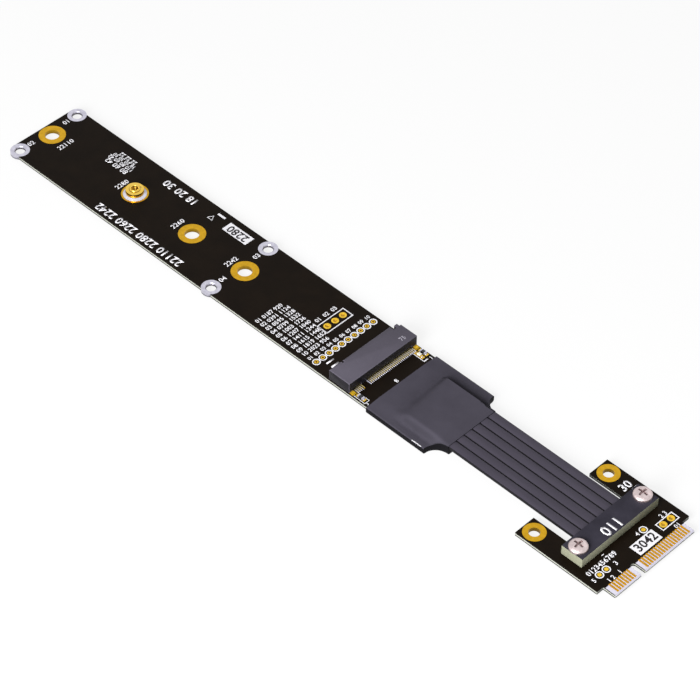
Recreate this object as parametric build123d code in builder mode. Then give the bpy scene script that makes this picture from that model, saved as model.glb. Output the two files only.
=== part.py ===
"""Extension cable for a gumstick solid state drive.

A long carrier board takes the drive in an edge socket and holds its far end on a
stepped standoff.  A flat cable of six twin-core strips runs from a moulded sleeve
on the board to a half-length mini card, where a bar and two screws clamp it.

Millimetres.  +X runs along the cable towards the mini card, +Z is up, and the
origin is the middle of the footprint on the table.
"""
from build123d import *
import os

os.makedirs("parts", exist_ok=True)

# Driving dimensions of the carrier board
board_width = 22.0
board_thickness = 1.0
board_back_end = 113.6        # back end of the board from the drive's contact edge
board_front_end = 26.0        # front end, inside the sleeve
drive_lengths = (42.0, 60.0, 80.0, 110.0)   # drive sizes that the fixing holes serve
fitted_index = 2              # the size that the standoff is set for, counted from 0
plating = 0.05                # copper and gold on the laminate
fixing_hole_d = 3.6
fixing_pad_d = 6.7

# Driving dimensions of the four threaded nuts in the board's edges
nut_back_x = 111.3            # rear pair from the drive's contact edge
nut_front_x = 43.7            # front pair
nut_inset = 1.75              # nut's middle from the board's edge
nut_outer_d = 4.8
nut_bore_d = 2.5
nut_lead_in = 0.2

# Driving dimensions of the standoff and the nut under it
standoff_seat = 1.5           # height of the drive's underside over the board
standoff_boss_top = 1.8
standoff_flange_d = 4.5
standoff_boss_d = 2.7
standoff_shank_d = 3.5
standoff_bore_d = 1.7
standoff_chamfer = 0.12
standoff_lead_in = 0.1
standoff_nut_across = 5.0
solder_ring_d = 5.8
solder_ring_height = 0.4

# Driving dimensions of the pin header pads and of the row of test pads
pin_pitch = 2.54
pin_hole_d = 1.0
pin_pad_d = 1.8
header_x = 15.6               # back from the drive's contact edge
header_y = 3.3
header_pins = 3
test_pad_d = 1.0
test_row_x = 9.2
test_row_y = 0.05
test_row_pitch = 2.04
test_row_count = 10

# Driving dimensions of the drive socket
socket_width = 21.9
socket_height = 3.0
socket_front = 3.4            # mouth of the slot from the drive's contact edge
socket_back = 3.0
socket_stand_clear = 0.1      # the housing hangs this much over the board
slot_depth_past_edge = 0.3
slot_width = 20.0
slot_gap = 0.85
key_y = -6.1
key_width = 1.1
socket_wall = 0.9             # rear wall
roof_thickness = 0.3
lead_cutout = 0.8             # height of the undercut that the leads come out of
chamber_front = 2.75          # front end of the spring chambers, behind the slot's mouth
chamber_web = 0.6             # wall between the lower chamber and the rear shaft
shaft_length = 0.7
corner_step_x = 1.3           # relief in the roof's far corner
corner_step_y = 2.4
mouth_chamfer = 0.2
nick_y = -6.9                 # nick in the roof's mouth edge, beside the key
nick_width = 0.7
nick_depth = 0.7
contact_pitch = 0.5
contact_width = 0.22
contact_thickness = 0.16
rear_tail_reach = 4.1         # end of the rear leads from the drive's contact edge
front_tail_reach = 4.3
solder_pad_width = 0.28
solder_pad_length = 1.3
first_contact_y = 9.25
peg_d = 1.1                   # locating pegs under the housing
peg_spacing = 20.4
peg_x = 0.5                   # ahead of the drive's contact edge
hold_down_spacing = 20.5      # metal tabs that solder the housing down
hold_down_width = 0.9
hold_down_thickness = 0.2
hold_down_length = 1.7
hold_down_leg = 1.2
hold_down_inset = 0.8         # leg from the housing's rear face
hold_down_pad = 1.2
hold_down_pad_back = 0.4      # pad's middle, back from the tab's end

# Driving dimensions of the small chips beside the socket
chip_length = 1.6
chip_width = 0.8
chip_height = 0.45
chip_cap = 0.35
chip_row_x = 5.75             # row of chips ahead of the drive's contact edge
near_chip_inset = 1.05        # middle of one resistor from the board's near edge
far_chip_inset = 0.75         # middle of the other from the far edge
lamp_inset = 2.05             # lamp's middle from the far edge
chip_land = 2.7               # length over the two pads of a chip
chip_pad = 0.9                # length and width of each pad
lamp_height = 0.6
lamp_base = 0.2
lamp_chamfer = 0.09

# Driving dimensions of the moulded sleeve
sleeve_back_x = 8.8           # from the drive's contact edge
sleeve_shoulder_x = 26.4
sleeve_front_x = 30.4
sleeve_overhang = 0.55        # past each side of the board
sleeve_under = 0.7            # wall under the board
sleeve_over = 0.45            # wall over the board
sleeve_edge_round = 0.4
neck_margin = 0.25            # past each side of the cable
hump_height = 1.75            # top of the hump over the board
hump_slope_back = 2.2
hump_slope_side = 1.5
hump_side_clear = 0.5         # flat top inside the cable's edge
hump_back_x = 14.75
slit_x = 24.1
slit_length = 3.1
slit_width = 0.3

# Driving dimensions of the flat cable
strip_count = 6
strip_pitch = 2.54
strip_gap = 0.1
strip_thickness = 1.05
strip_round = 0.38
strip_back_x = 18.8           # back end of the strips, inside the sleeve
strip_front_x = 69.2          # front end, under the clamp bar
cores_per_strip = 4
core_pitch = 0.58
core_size = 0.3
core_run = 2.7                # bare length past the insulation
core_room = 0.84              # height of the hollow round the bare cores
joint_pad_width = 0.4
joint_pad_length = 1.5

# Driving dimensions of the mini card
card_width = 30.0
card_length = 26.8
card_thickness = 1.0
card_hole_x = 59.8            # fixing holes from the drive's contact edge
card_hole_inset = 2.9         # their middles from the card's back edge
card_hole_side = 2.9          # and from its sides
card_hole_d = 2.6
card_ring_d = 5.3
card_slot_width = 18.2
card_slot_depth = 9.55
card_tongue_length = 3.5
tongue_left = -13.05
tongue_right = 12.65
tongue_chamfer = 0.3
notch_left = -4.8
notch_width = 1.5
notch_depth = 3.5
finger_pitch = 0.8
finger_width = 0.5
finger_length = 2.7
finger_setback = 0.4
left_finger_count = 8
right_finger_count = 18
card_pin_setback = 5.85       # back from the tongue's end
card_pin_inset = 4.55         # their middle from the card's far edge
card_pins = 2
card_test_pads = ((7.9, 5.0), (6.2, -9.0), (6.2, -11.2))   # back from the tongue's end, across

# Driving dimensions of the clamp
bar_length = 25.0
bar_depth = 5.9
bar_thickness = 2.6
bar_back_x = 67.7
bar_front_wall = 1.2
bar_side_clear = 0.15
screw_spacing = 20.9
screw_d = 2.5
screw_clearance = 0.1
screw_head_d = 4.4
screw_head_height = 1.3
screw_rim = 0.45
recess_span = 2.5
recess_width = 0.6
recess_depth = 0.7
recess_taper = 12             # degrees
clinch_shank_d = 3.6
clinch_flange_d = 4.8
screw_end_clear = 0.1

# Levels, from the table up
board_bottom = sleeve_under
board_top = board_bottom + board_thickness
card_top = board_top
card_bottom = card_top - card_thickness
bar_top = card_top + bar_thickness

# The drive's contact edge, set so that the origin is the middle of the length
back_reach = max(board_back_end, nut_back_x + nut_outer_d / 2)
front_reach = card_hole_x - card_hole_inset + card_length
datum_x = (back_reach - front_reach) / 2

# Sizes that follow from the ones above
half_board = board_width / 2
nut_y = half_board - nut_inset
cable_width = strip_count * strip_pitch
screw_x = datum_x + bar_back_x + bar_depth / 2
screw_points = [(screw_x, -screw_spacing / 2), (screw_x, screw_spacing / 2)]
fixing_points = [(datum_x - length, 0) for length in drive_lengths]
standoff_x = datum_x - drive_lengths[fitted_index]
nut_points = [
    (datum_x - x, y)
    for x in (nut_back_x, nut_front_x)
    for y in (-nut_y, nut_y)
]
corner_cut = (2 * (board_back_end - nut_back_x), 2 * nut_inset)
header_points = [
    (datum_x - header_x, header_y + (i - (header_pins - 1) / 2) * pin_pitch)
    for i in range(header_pins)
]
test_points = [
    (datum_x - test_row_x, test_row_y + (i - (test_row_count - 1) / 2) * test_row_pitch)
    for i in range(test_row_count)
]
card_back_x = datum_x + card_hole_x - card_hole_inset
card_front_x = card_back_x + card_length
card_shoulder_x = card_front_x - card_tongue_length
card_hole_points = [
    (datum_x + card_hole_x, card_hole_side - card_width / 2),
    (datum_x + card_hole_x, card_width / 2 - card_hole_side),
]
card_pin_points = [
    (card_front_x - card_pin_setback,
     card_width / 2 - card_pin_inset + (i - (card_pins - 1) / 2) * pin_pitch)
    for i in range(card_pins)
]
card_test_points = [(card_front_x - setback, y) for setback, y in card_test_pads]
peg_points = [(datum_x + peg_x, -peg_spacing / 2), (datum_x + peg_x, peg_spacing / 2)]


def save(builder, name):
    """Label a finished piece and write its STEP file."""
    builder.part.label = name
    export_step(builder.part, f"parts/{name}.step")


def plated_hole(points, pad_d, hole_d, bottom, thickness):
    """Plated holes: a lining through the laminate with a pad on each face."""
    with BuildPart() as holes:
        with BuildSketch(Plane.XY.offset(bottom)):
            with Locations(*points):
                Circle(hole_d / 2 + plating)
        extrude(amount=thickness)
        with BuildSketch(Plane.XY.offset(bottom - plating), Plane.XY.offset(bottom + thickness)):
            with Locations(*points):
                Circle(pad_d / 2)
        extrude(amount=plating)
        with BuildSketch(Plane.XY.offset(bottom - plating)):
            with Locations(*points):
                Circle(hole_d / 2)
        extrude(amount=thickness + 2 * plating, mode=Mode.SUBTRACT)
    return holes


def flat_pads(points, level, length, width):
    """Thin rectangular pads lying on a face of the laminate."""
    with BuildPart() as pads:
        with BuildSketch(Plane.XY.offset(level)):
            with Locations(*points):
                Rectangle(length, width)
        extrude(amount=plating)
    return pads


# Carrier board with its holes and the round notches for the edge nuts
with BuildPart() as carrier_board:
    with BuildSketch(Plane.XY.offset(board_bottom)):
        with Locations((datum_x + (board_front_end - board_back_end) / 2, 0)):
            Rectangle(board_front_end + board_back_end, board_width)
        with Locations(*fixing_points):
            Circle(fixing_hole_d / 2 + plating, mode=Mode.SUBTRACT)
        with Locations(*nut_points):
            Circle(nut_outer_d / 2, mode=Mode.SUBTRACT)
        with Locations((datum_x - board_back_end, -half_board), (datum_x - board_back_end, half_board)):
            Rectangle(*corner_cut, mode=Mode.SUBTRACT)
        with Locations(*header_points):
            Circle(pin_hole_d / 2 + plating, mode=Mode.SUBTRACT)
        with Locations(*peg_points):
            Circle(peg_d / 2, mode=Mode.SUBTRACT)
    extrude(amount=board_thickness)
save(carrier_board, "carrier_board")

# Plated fixing holes, one for each drive length
fixing_rings = plated_hole(
    fixing_points, fixing_pad_d, fixing_hole_d, board_bottom, board_thickness)
save(fixing_rings, "fixing_hole_rings")

# Plated holes for a three-pin header
header_rings = plated_hole(header_points, pin_pad_d, pin_hole_d, board_bottom, board_thickness)
save(header_rings, "header_hole_rings")

# Round test pads across the board, behind the socket's mouth
with BuildPart() as test_pads:
    with BuildSketch(Plane.XY.offset(board_top)):
        with Locations(*test_points):
            Circle(test_pad_d / 2)
    extrude(amount=plating)
save(test_pads, "board_test_pads")

# Threaded round nuts soldered into the board's edges
with BuildPart() as edge_nuts:
    with BuildSketch(Plane.XY.offset(board_bottom)):
        with Locations(*nut_points):
            Circle(nut_outer_d / 2)
            Circle(nut_bore_d / 2, mode=Mode.SUBTRACT)
    extrude(amount=board_thickness)
    mouths = edge_nuts.edges().filter_by(GeomType.CIRCLE).filter_by(
        lambda edge: abs(edge.radius - nut_bore_d / 2) < 0.01)
    chamfer(mouths, length=nut_lead_in)
save(edge_nuts, "edge_nuts")

# Stepped brass standoff: shank, flange, seat for the drive and boss with a tapped bore
with BuildPart() as standoff:
    with BuildSketch(Plane.XZ.move(Location((standoff_x, 0, 0)))):
        with BuildLine():
            Polyline(
                (0, screw_end_clear),
                (standoff_shank_d / 2, screw_end_clear),
                (standoff_shank_d / 2, board_top + plating),
                (standoff_flange_d / 2, board_top + plating),
                (standoff_flange_d / 2, board_top + standoff_seat),
                (standoff_boss_d / 2, board_top + standoff_seat),
                (standoff_boss_d / 2, board_top + standoff_boss_top - standoff_chamfer),
                (standoff_boss_d / 2 - standoff_chamfer, board_top + standoff_boss_top),
                (0, board_top + standoff_boss_top),
                close=True,
            )
        make_face()
    revolve(axis=Axis((standoff_x, 0, 0), (0, 0, 1)))
    with BuildSketch(Plane.XY.offset(screw_end_clear)):
        with Locations((standoff_x, 0)):
            Circle(standoff_bore_d / 2)
    extrude(amount=board_top + standoff_boss_top - screw_end_clear, mode=Mode.SUBTRACT)
    bore_mouth = standoff.faces().sort_by(Axis.Z)[-1].edges().sort_by(SortBy.LENGTH)[0]
    chamfer(bore_mouth, length=standoff_lead_in)
save(standoff, "standoff")

# Solder fillet round the standoff's flange
with BuildPart() as standoff_solder:
    with BuildSketch(Plane.XZ.move(Location((standoff_x, 0, 0)))):
        with BuildLine():
            Polyline(
                (standoff_flange_d / 2, board_top + plating),
                (solder_ring_d / 2, board_top + plating),
                (standoff_flange_d / 2, board_top + plating + solder_ring_height),
                close=True,
            )
        make_face()
    revolve(axis=Axis((standoff_x, 0, 0), (0, 0, 1)))
save(standoff_solder, "standoff_solder")

# Thin hexagon nut on the standoff's shank, under the board
with BuildPart() as standoff_nut:
    with BuildSketch():
        with Locations((standoff_x, 0)):
            RegularPolygon(standoff_nut_across / 2, 6, major_radius=False)
            Circle(standoff_shank_d / 2, mode=Mode.SUBTRACT)
    extrude(amount=board_bottom - plating)
save(standoff_nut, "standoff_nut")


# Drive socket housing
def group_span(first, last):
    """Middle and width of the cavity for the contacts numbered first to last."""
    high = first_contact_y - (first - 1) * contact_pitch / 2
    low = first_contact_y - (last - 1) * contact_pitch / 2
    return (high + low) / 2, high - low + contact_pitch


# Contact numbers beside the key, and the cavity of each group
long_group = (1, 58)
short_group = (67, 75)
group_cavities = [group_span(*long_group), group_span(*short_group)]
slot_floor = board_top + standoff_seat
slot_roof = slot_floor + slot_gap
socket_top = board_top + socket_height
socket_base = board_top + socket_stand_clear
mouth_x = datum_x - socket_front
socket_rear_x = datum_x + socket_back
slot_end_x = datum_x + slot_depth_past_edge
chamber_x = datum_x - chamber_front
shaft_x = socket_rear_x - socket_wall - shaft_length
chamber_roof = socket_top - roof_thickness
pad_top = board_top + plating
leg_x = socket_rear_x - hold_down_inset
hold_down_rows = (-hold_down_spacing / 2, hold_down_spacing / 2)


def cavity_outline(x_low, x_high, z_low, z_high):
    """Rectangle between two lengths and two levels, in a sketch across the socket."""
    with Locations(((x_low + x_high) / 2, (z_low + z_high) / 2)):
        Rectangle(x_high - x_low, z_high - z_low)


def hold_down_outline(low):
    """Side view of a metal tab: a foot on its pad and a leg up into the housing."""
    cavity_outline(leg_x, leg_x + hold_down_length, low, pad_top + hold_down_thickness)
    cavity_outline(leg_x, leg_x + hold_down_thickness, low, pad_top + hold_down_leg)


with BuildPart() as socket_housing:
    with BuildSketch(Plane.XY.offset(socket_base)):
        with Locations(((mouth_x + socket_rear_x) / 2, 0)):
            Rectangle(socket_rear_x - mouth_x, socket_width)
    extrude(amount=socket_top - socket_base)
    # Step in the far corner of the mouth side, and the nick beside the key
    with BuildSketch(Plane.XY.offset(slot_roof)):
        with Locations((mouth_x, socket_width / 2)):
            Rectangle(2 * corner_step_x, 2 * corner_step_y)
        with Locations((mouth_x, nick_y)):
            Rectangle(2 * nick_depth, nick_width)
    extrude(amount=socket_top - slot_roof, mode=Mode.SUBTRACT)
    # Slot for the drive's edge, split by the key
    with BuildSketch(Plane.XZ):
        cavity_outline(mouth_x, slot_end_x, slot_floor, slot_roof)
    extrude(amount=slot_width / 2, both=True, mode=Mode.SUBTRACT)
    # Undercut at the back, spring chambers and the shaft that joins them, for each group
    for middle, width in group_cavities:
        with BuildSketch(Plane.XZ.offset(-middle)):
            cavity_outline(shaft_x, socket_rear_x, socket_base, board_top + lead_cutout)
            cavity_outline(shaft_x, shaft_x + shaft_length, socket_base, chamber_roof)
            cavity_outline(chamber_x, shaft_x + shaft_length, slot_roof, chamber_roof)
            cavity_outline(chamber_x, shaft_x - chamber_web, socket_base, slot_floor)
            cavity_outline(mouth_x, chamber_x, socket_base, board_top + lead_cutout / 2)
        extrude(amount=width / 2, both=True, mode=Mode.SUBTRACT)
    # Key between the two groups
    with BuildSketch(Plane.XY.offset(slot_floor)):
        with Locations(((mouth_x + slot_end_x) / 2, key_y)):
            Rectangle(slot_end_x - mouth_x, key_width)
    extrude(amount=slot_gap)
    # Pegs that locate the housing in the board
    with BuildSketch(Plane.XY.offset(board_bottom)):
        with Locations(*peg_points):
            Circle(peg_d / 2)
    extrude(amount=socket_base - board_bottom)
    # Pockets in the rear face for the metal tabs
    for y in hold_down_rows:
        with BuildSketch(Plane.XZ.offset(-y)):
            hold_down_outline(socket_base)
        extrude(amount=hold_down_width / 2, both=True, mode=Mode.SUBTRACT)
    mouth_edges = socket_housing.edges().filter_by(Axis.Y).group_by(Axis.Z)[-1].filter_by(
        lambda edge: abs(edge.center().X - mouth_x) < mouth_chamfer)
    chamfer(mouth_edges, length=mouth_chamfer)
save(socket_housing, "socket_housing")


def contact_bank(name, numbers, path):
    """Sprung contacts of one row: a bent strip for each number, side by side."""
    rows = [first_contact_y - (number - 1) * contact_pitch / 2 for number in numbers]
    with BuildPart() as one:
        with BuildSketch(Plane.XZ):
            with BuildLine():
                Polyline(*path)
            trace(line_width=contact_thickness)
        extrude(amount=contact_width / 2, both=True)
    with BuildPart() as bank:
        with Locations(*[(0, y, 0) for y in rows]):
            add(one.part)
    save(bank, name)
    return rows


tail_level = pad_top + contact_thickness / 2
upper_beam = (slot_roof + chamber_roof) / 2
rear_numbers = [n for n in range(1, 76, 2) if n <= long_group[1] or n >= short_group[0]]
front_numbers = [n for n in range(2, 76, 2) if n <= long_group[1] or n >= short_group[0]]
rear_rows = contact_bank("socket_rear_contacts", rear_numbers, [
    (datum_x + rear_tail_reach, tail_level),
    (socket_rear_x - socket_wall / 2, tail_level),
    (shaft_x + shaft_length / 2, board_top + lead_cutout),
    (shaft_x + shaft_length / 2, upper_beam),
    (chamber_x + 2 * contact_thickness, slot_roof),
])
front_rows = contact_bank("socket_front_contacts", front_numbers, [
    (datum_x - front_tail_reach, tail_level),
    (chamber_x + contact_thickness, tail_level),
    (shaft_x - chamber_web - 3 * contact_thickness, board_top + lead_cutout),
    (chamber_x + 3 * contact_thickness, slot_floor),
])

# Solder pads under the tails of both rows
rear_pad_x = datum_x + rear_tail_reach - solder_pad_length / 2 + contact_thickness
front_pad_x = datum_x - front_tail_reach + solder_pad_length / 2 - contact_thickness
socket_pads = flat_pads(
    [(rear_pad_x, y) for y in rear_rows] + [(front_pad_x, y) for y in front_rows],
    board_top, solder_pad_length, solder_pad_width)
save(socket_pads, "socket_solder_pads")

# Metal tabs at the ends of the socket, and their pads
with BuildPart() as hold_downs:
    for y in hold_down_rows:
        with BuildSketch(Plane.XZ.offset(-y)):
            hold_down_outline(pad_top)
        extrude(amount=hold_down_width / 2, both=True)
save(hold_downs, "socket_hold_downs")

hold_down_pads = flat_pads(
    [(leg_x + hold_down_length - hold_down_pad_back, y) for y in hold_down_rows],
    board_top, hold_down_pad, hold_down_pad)
save(hold_down_pads, "hold_down_pads")

# Chip resistors at the near and the far edge, with soldered end caps, and the lamp beside the far one
chip_seat = board_top + plating
chip_middles = [
    (datum_x + chip_row_x, near_chip_inset - half_board), (datum_x + chip_row_x, half_board - far_chip_inset)]
lamp_middle = (datum_x + chip_row_x, half_board - lamp_inset)
chip_pads = flat_pads(
    [(x + end * (chip_land - chip_pad) / 2, y) for x, y in (*chip_middles, lamp_middle) for end in (-1, 1)],
    board_top, chip_pad, chip_pad)
save(chip_pads, "chip_pads")

with BuildPart() as chips:
    with BuildSketch(Plane.XY.offset(chip_seat)):
        with Locations(*chip_middles):
            Rectangle(chip_length - 2 * chip_cap, chip_width)
    extrude(amount=chip_height)
save(chips, "chip_resistors")

with BuildPart() as chip_caps:
    with BuildSketch(Plane.XY.offset(chip_seat)):
        with Locations(*chip_middles):
            with GridLocations(chip_length - chip_cap, 0, 2, 1):
                Rectangle(chip_cap, chip_width)
    extrude(amount=chip_height)
save(chip_caps, "chip_resistor_caps")

# Status lamp: gold-ended base with a clear lens block on it
with BuildPart() as lamp_terminals:
    with BuildSketch(Plane.XY.offset(chip_seat)):
        with Locations(lamp_middle):
            Rectangle(chip_length, chip_width)
    extrude(amount=lamp_base)
save(lamp_terminals, "status_lamp_base")

with BuildPart() as lamp_lens:
    with BuildSketch(Plane.XY.offset(chip_seat + lamp_base)):
        with Locations(lamp_middle):
            Rectangle(chip_length - 2 * chip_cap, chip_width)
    extrude(amount=lamp_height - lamp_base)
    chamfer(lamp_lens.edges().group_by(Axis.Z)[-1], length=lamp_chamfer)
save(lamp_lens, "status_lamp_lens")

# Moulded sleeve over the end of the board and the start of the cable
sleeve_back = datum_x + sleeve_back_x
sleeve_shoulder = datum_x + sleeve_shoulder_x
sleeve_front = datum_x + sleeve_front_x
half_sleeve = half_board + sleeve_overhang
half_neck = cable_width / 2 + neck_margin
shoulder_run = sleeve_front - sleeve_shoulder
margin_top = board_top + sleeve_over
hump_top = board_top + hump_height
hump_back = datum_x + hump_back_x
half_hump = cable_width / 2 - hump_side_clear

with BuildPart() as sleeve:
    # Flat margins, and the hump with its long slopes
    with BuildSketch():
        with Locations(((sleeve_back + sleeve_front) / 2, 0)):
            Rectangle(sleeve_front - sleeve_back, 2 * half_sleeve)
    extrude(amount=margin_top)
    with BuildSketch(Plane.XY.offset(margin_top)):
        with Locations(((hump_back + sleeve_front) / 2, 0)):
            Rectangle(sleeve_front - hump_back, 2 * (half_hump + hump_slope_side))
    with BuildSketch(Plane.XY.offset(hump_top)):
        with Locations(((hump_back + hump_slope_back + sleeve_front) / 2, 0)):
            Rectangle(sleeve_front - hump_back - hump_slope_back, 2 * half_hump)
    loft()
    # Outline from above: square shoulders with a hollow quarter round to the neck
    with BuildSketch():
        with BuildLine():
            Polyline(
                (sleeve_shoulder, half_sleeve),
                (sleeve_back, half_sleeve),
                (sleeve_back, -half_sleeve),
                (sleeve_shoulder, -half_sleeve),
            )
            EllipticalCenterArc(
                (sleeve_front, -half_sleeve), shoulder_run, half_sleeve - half_neck,
                start_angle=90, arc_size=90)
            Line((sleeve_front, -half_neck), (sleeve_front, half_neck))
            EllipticalCenterArc(
                (sleeve_front, half_sleeve), shoulder_run, half_sleeve - half_neck,
                start_angle=180, arc_size=90)
        make_face()
    extrude(amount=hump_top, mode=Mode.INTERSECT)
    outer_edges = sleeve.edges().filter_by(Axis.X).filter_by(
        lambda edge: abs(abs(edge.center().Y) - half_sleeve) < 0.01)
    fillet(outer_edges, radius=sleeve_edge_round)
    # Pocket for the board
    with BuildSketch(Plane.XY.offset(board_bottom)):
        with Locations(((sleeve_back + datum_x + board_front_end) / 2, 0)):
            Rectangle(datum_x + board_front_end - sleeve_back, board_width)
    extrude(amount=board_thickness, mode=Mode.SUBTRACT)
    # Channel for the cable and, behind it, for its bare cores
    with BuildSketch(Plane.XY.offset(board_top)):
        with Locations(((strip_back_x + datum_x + datum_x + sleeve_front_x) / 2, 0)):
            Rectangle(sleeve_front_x - strip_back_x, cable_width)
    extrude(amount=strip_thickness, mode=Mode.SUBTRACT)
    with BuildSketch(Plane.XY.offset(board_top)):
        with Locations((datum_x + strip_back_x - core_run / 2, 0)):
            Rectangle(core_run, cable_width)
    extrude(amount=core_room, mode=Mode.SUBTRACT)
    # Slit in the near margin
    with BuildSketch():
        with Locations((datum_x + slit_x, -half_board - sleeve_overhang / 2)):
            SlotOverall(slit_length, slit_width)
    extrude(amount=margin_top, mode=Mode.SUBTRACT)
save(sleeve, "sleeve")

# Flat cable: strips side by side, each with its two long edges rounded
strip_length = strip_front_x - strip_back_x
for index in range(strip_count):
    strip_y = (index - (strip_count - 1) / 2) * strip_pitch
    with BuildPart() as strip:
        with BuildSketch(Plane.YZ.offset(datum_x + strip_back_x)):
            with Locations((strip_y, board_top + strip_thickness / 2)):
                RectangleRounded(strip_pitch - strip_gap, strip_thickness, strip_round)
        extrude(amount=strip_length)
    save(strip, f"cable_strip_{index + 1}")

# Bare cores at both ends of the cable, bent down to their solder pads
core_rows = [
    (strip - (strip_count - 1) / 2) * strip_pitch
    + (core - (cores_per_strip - 1) / 2) * core_pitch
    for strip in range(strip_count)
    for core in range(cores_per_strip)
]
core_level = board_top + strip_thickness / 2
joint_level = board_top + plating + core_size / 2


def bare_cores(name, start_x, way):
    """Cores of one end: out of the strip, down, and along the pad."""
    with BuildPart() as one:
        with BuildSketch(Plane.XZ):
            with BuildLine():
                Polyline(
                    (start_x, core_level),
                    (start_x + way * core_size, core_level),
                    (start_x + way * (core_run - joint_pad_length), joint_level),
                    (start_x + way * (core_run - core_size), joint_level),
                )
            trace(line_width=core_size)
        extrude(amount=core_size / 2, both=True)
    with BuildPart() as cores:
        with Locations(*[(0, y, 0) for y in core_rows]):
            add(one.part)
    save(cores, name)


bare_cores("board_end_cores", datum_x + strip_back_x, -1)
bare_cores("card_end_cores", datum_x + strip_front_x, 1)

# Solder pads for the cores, on the board and on the card
board_joint_x = datum_x + strip_back_x - core_run + joint_pad_length / 2
card_joint_x = datum_x + strip_front_x + core_run - joint_pad_length / 2
board_joint_pads = flat_pads(
    [(board_joint_x, y) for y in core_rows], board_top, joint_pad_length, joint_pad_width)
save(board_joint_pads, "board_joint_pads")
card_joint_pads = flat_pads(
    [(card_joint_x, y) for y in core_rows], card_top, joint_pad_length, joint_pad_width)
save(card_joint_pads, "card_joint_pads")

# Mini card: two ears beside a slot at the back, and a keyed tongue at the front
notch_right = notch_left + notch_width
with BuildPart() as mini_card:
    with BuildSketch(Plane.XY.offset(card_bottom)):
        with Locations(((card_back_x + card_shoulder_x) / 2, 0)):
            Rectangle(card_shoulder_x - card_back_x, card_width)
        with Locations(((card_shoulder_x + card_front_x) / 2, (tongue_left + tongue_right) / 2)):
            Rectangle(card_tongue_length, tongue_right - tongue_left)
        with Locations((card_back_x, 0)):
            Rectangle(2 * card_slot_depth, card_slot_width, mode=Mode.SUBTRACT)
        with Locations((card_front_x, (notch_left + notch_right) / 2)):
            SlotOverall(2 * notch_depth, notch_width, mode=Mode.SUBTRACT)
        with Locations(*card_hole_points):
            Circle(card_hole_d / 2 + plating, mode=Mode.SUBTRACT)
        with Locations(*screw_points):
            Circle(clinch_shank_d / 2, mode=Mode.SUBTRACT)
        with Locations(*card_pin_points):
            Circle(pin_hole_d / 2 + plating, mode=Mode.SUBTRACT)
    extrude(amount=card_thickness)
    tongue_edges = mini_card.edges().filter_by(Axis.Y).group_by(Axis.X)[-1]
    chamfer(tongue_edges, length=tongue_chamfer)
save(mini_card, "mini_card")

card_rings = plated_hole(
    card_hole_points, card_ring_d, card_hole_d, card_bottom, card_thickness)
save(card_rings, "card_hole_rings")

card_pin_rings = plated_hole(
    card_pin_points, pin_pad_d, pin_hole_d, card_bottom, card_thickness)
save(card_pin_rings, "card_header_rings")

with BuildPart() as card_tests:
    with BuildSketch(Plane.XY.offset(card_top)):
        with Locations(*card_test_points):
            Circle(test_pad_d / 2)
    extrude(amount=plating)
save(card_tests, "card_test_pads")

# Gold fingers on both faces of the tongue
left_middle = (tongue_left + notch_left) / 2
right_middle = (notch_right + tongue_right) / 2
finger_x = card_front_x - finger_setback - finger_length / 2
finger_points = [
    (finger_x, middle + (i - (count - 1) / 2) * finger_pitch)
    for middle, count in ((left_middle, left_finger_count), (right_middle, right_finger_count))
    for i in range(count)
]
top_fingers = flat_pads(finger_points, card_top, finger_length, finger_width)
save(top_fingers, "card_top_fingers")
bottom_fingers = flat_pads(finger_points, card_bottom - plating, finger_length, finger_width)
save(bottom_fingers, "card_bottom_fingers")

# Clamp bar, hollowed from the back over the end of the cable
bar_middle_x = datum_x + bar_back_x + bar_depth / 2
pocket_length = bar_depth - bar_front_wall
with BuildPart() as clamp_bar:
    with BuildSketch(Plane.XY.offset(card_top)):
        with Locations((bar_middle_x, 0)):
            Rectangle(bar_depth, bar_length)
        with Locations(*screw_points):
            Circle(screw_d / 2 + screw_clearance, mode=Mode.SUBTRACT)
    extrude(amount=bar_thickness)
    with BuildSketch(Plane.XY.offset(card_top)):
        with Locations((datum_x + bar_back_x + pocket_length / 2, 0)):
            Rectangle(pocket_length, cable_width + 2 * bar_side_clear)
    extrude(amount=strip_thickness, mode=Mode.SUBTRACT)
save(clamp_bar, "clamp_bar")

# Domed screws with a cross recess
shank_bottom = screw_end_clear
with BuildPart() as one_screw:
    with BuildSketch(Plane.XZ):
        with BuildLine():
            rim_top = bar_top + screw_rim
            head_top = bar_top + screw_head_height
            Line((0, shank_bottom), (screw_d / 2, shank_bottom))
            Line((screw_d / 2, shank_bottom), (screw_d / 2, bar_top))
            Line((screw_d / 2, bar_top), (screw_head_d / 2, bar_top))
            Line((screw_head_d / 2, bar_top), (screw_head_d / 2, rim_top))
            EllipticalCenterArc(
                (0, rim_top), screw_head_d / 2, head_top - rim_top, start_angle=0, arc_size=90)
            Line((0, head_top), (0, shank_bottom))
        make_face()
    revolve(axis=Axis.Z)
    with BuildSketch(Plane.XY.offset(head_top)):
        Rectangle(recess_span, recess_width)
        Rectangle(recess_width, recess_span)
    extrude(amount=-recess_depth, taper=recess_taper, mode=Mode.SUBTRACT)
with BuildPart() as clamp_screws:
    with Locations(*[(x, y, 0) for x, y in screw_points]):
        add(one_screw.part)
save(clamp_screws, "clamp_screws")

# Clinch nuts pressed into the card from below
with BuildPart() as clinch_nuts:
    with BuildSketch():
        with Locations(*screw_points):
            Circle(clinch_flange_d / 2)
    extrude(amount=card_bottom)
    with BuildSketch(Plane.XY.offset(card_bottom)):
        with Locations(*screw_points):
            Circle(clinch_shank_d / 2)
    extrude(amount=card_thickness)
    with BuildSketch():
        with Locations(*screw_points):
            Circle(screw_d / 2)
    extrude(amount=card_top, mode=Mode.SUBTRACT)
save(clinch_nuts, "clinch_nuts")
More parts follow.
